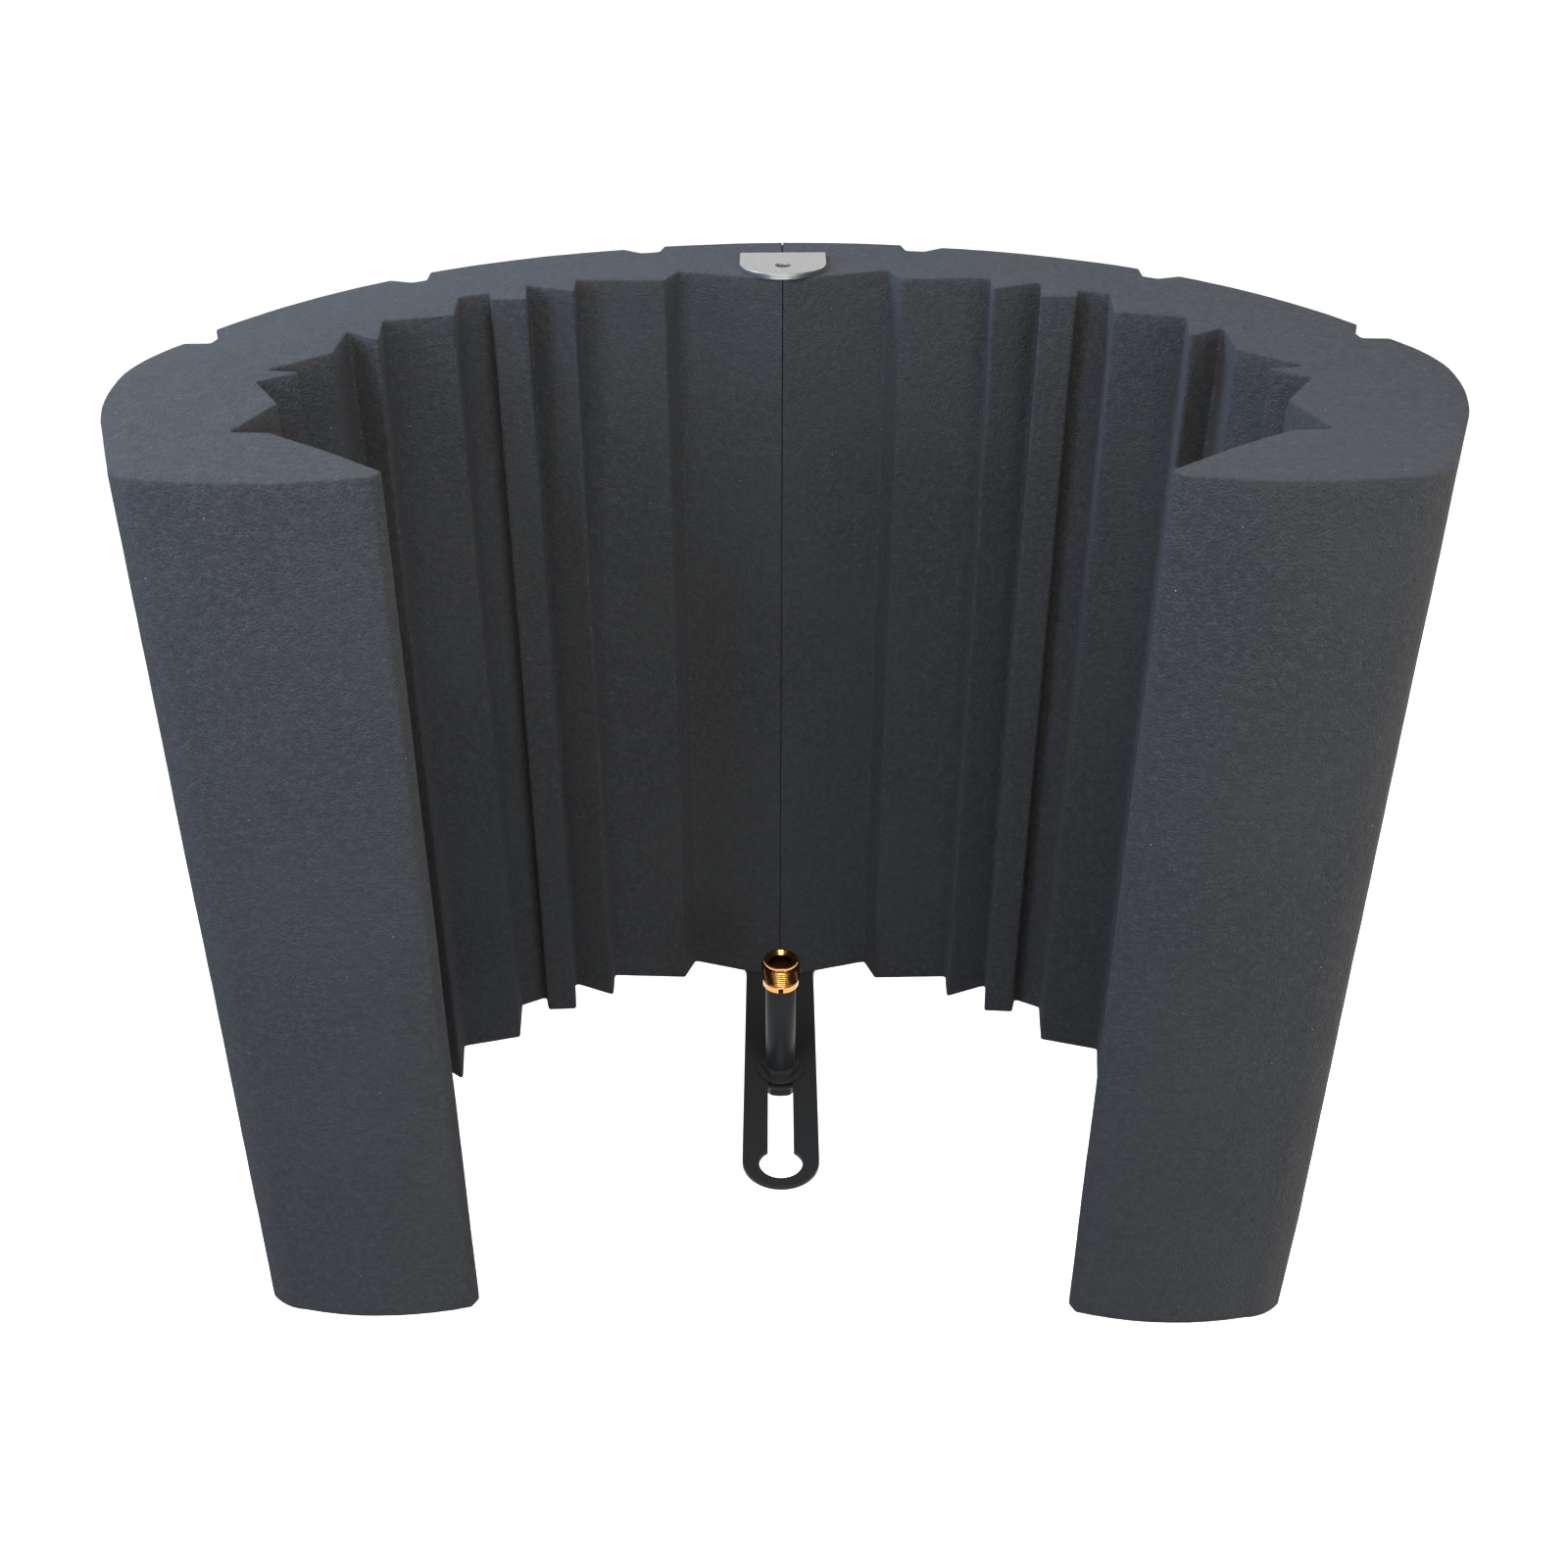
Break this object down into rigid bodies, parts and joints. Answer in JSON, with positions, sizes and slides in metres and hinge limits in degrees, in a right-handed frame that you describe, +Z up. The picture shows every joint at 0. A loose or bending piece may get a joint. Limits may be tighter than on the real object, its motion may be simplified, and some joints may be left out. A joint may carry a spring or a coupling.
{
  "type": "microphone isolation shield",
  "caption": "C-shaped acoustic foam shield on a bent steel spine, with a slotted arm beneath and a sliding, turning microphone post topped by a brass thread adapter.",
  "frame": {"origin": "centre of the keyhole in the arm, on the arm's top face, which is the plane of the foam's underside", "axes": "+Z up along the stand's axis, +Y towards the closed back of the shield, so the open side faces -Y; +X to the right seen from the open side"},
  "size_m": [0.4172, 0.2582, 0.3333],
  "materials": {
    "foam": "matte",
    "adhesive": "matte",
    "plated_steel": "satin",
    "black_gloss_paint": "gloss",
    "black_hardware": "satin",
    "zinc_hardware": "satin",
    "brass": "polished"
  },
  "bodies": {
    "shield": {"foam_half_left": "foam", "foam_half_right": "foam", "seam_adhesive": "adhesive", "spine_bracket": "plated_steel", "slotted_arm": "black_gloss_paint", "arm_screws": "black_hardware", "arm_screw_washers": "zinc_hardware", "arm_screw_nuts": "zinc_hardware"},
    "slider": {"upper_washer": "black_hardware"},
    "post": {"threaded_rod": "black_hardware", "post_sleeve": "black_gloss_paint", "upper_nut": "black_hardware"},
    "adapter": {"thread_adapter": "brass"},
    "clamp_washer": {"lower_washer": "black_hardware"},
    "clamp_nut": {"clamp_nut": "black_hardware"}
  },
  "joints": [
    {"name": "post_slide", "type": "slide", "parent": "shield", "child": "slider", "axis": [0, 1, 0], "range_m": [-0.0573, 0.0273]},
    {"name": "post_swivel", "type": "hinge", "parent": "slider", "child": "post", "pos_m": [0, 0.0573, 0], "axis": [0, 0, 1], "continuous": true},
    {"name": "adapter_turn", "type": "hinge", "parent": "post", "child": "adapter", "pos_m": [0, 0.0573, 0.0527], "axis": [0, 0, 1], "range_deg": [0, 180]},
    {"name": "clamp_washer_drop", "type": "slide", "parent": "post", "child": "clamp_washer", "axis": [0, 0, -1], "range_m": [0, 0.002]},
    {"name": "clamp_nut_turn", "type": "hinge", "parent": "clamp_washer", "child": "clamp_nut", "pos_m": [0, 0.0573, -0.006], "axis": [0, 0, -1], "range_deg": [0, 454]}
  ],
  "couplings": [
    {"joint": "clamp_nut_turn", "follows": "clamp_washer_drop", "rad_per_m": 3957.9}
  ]
}
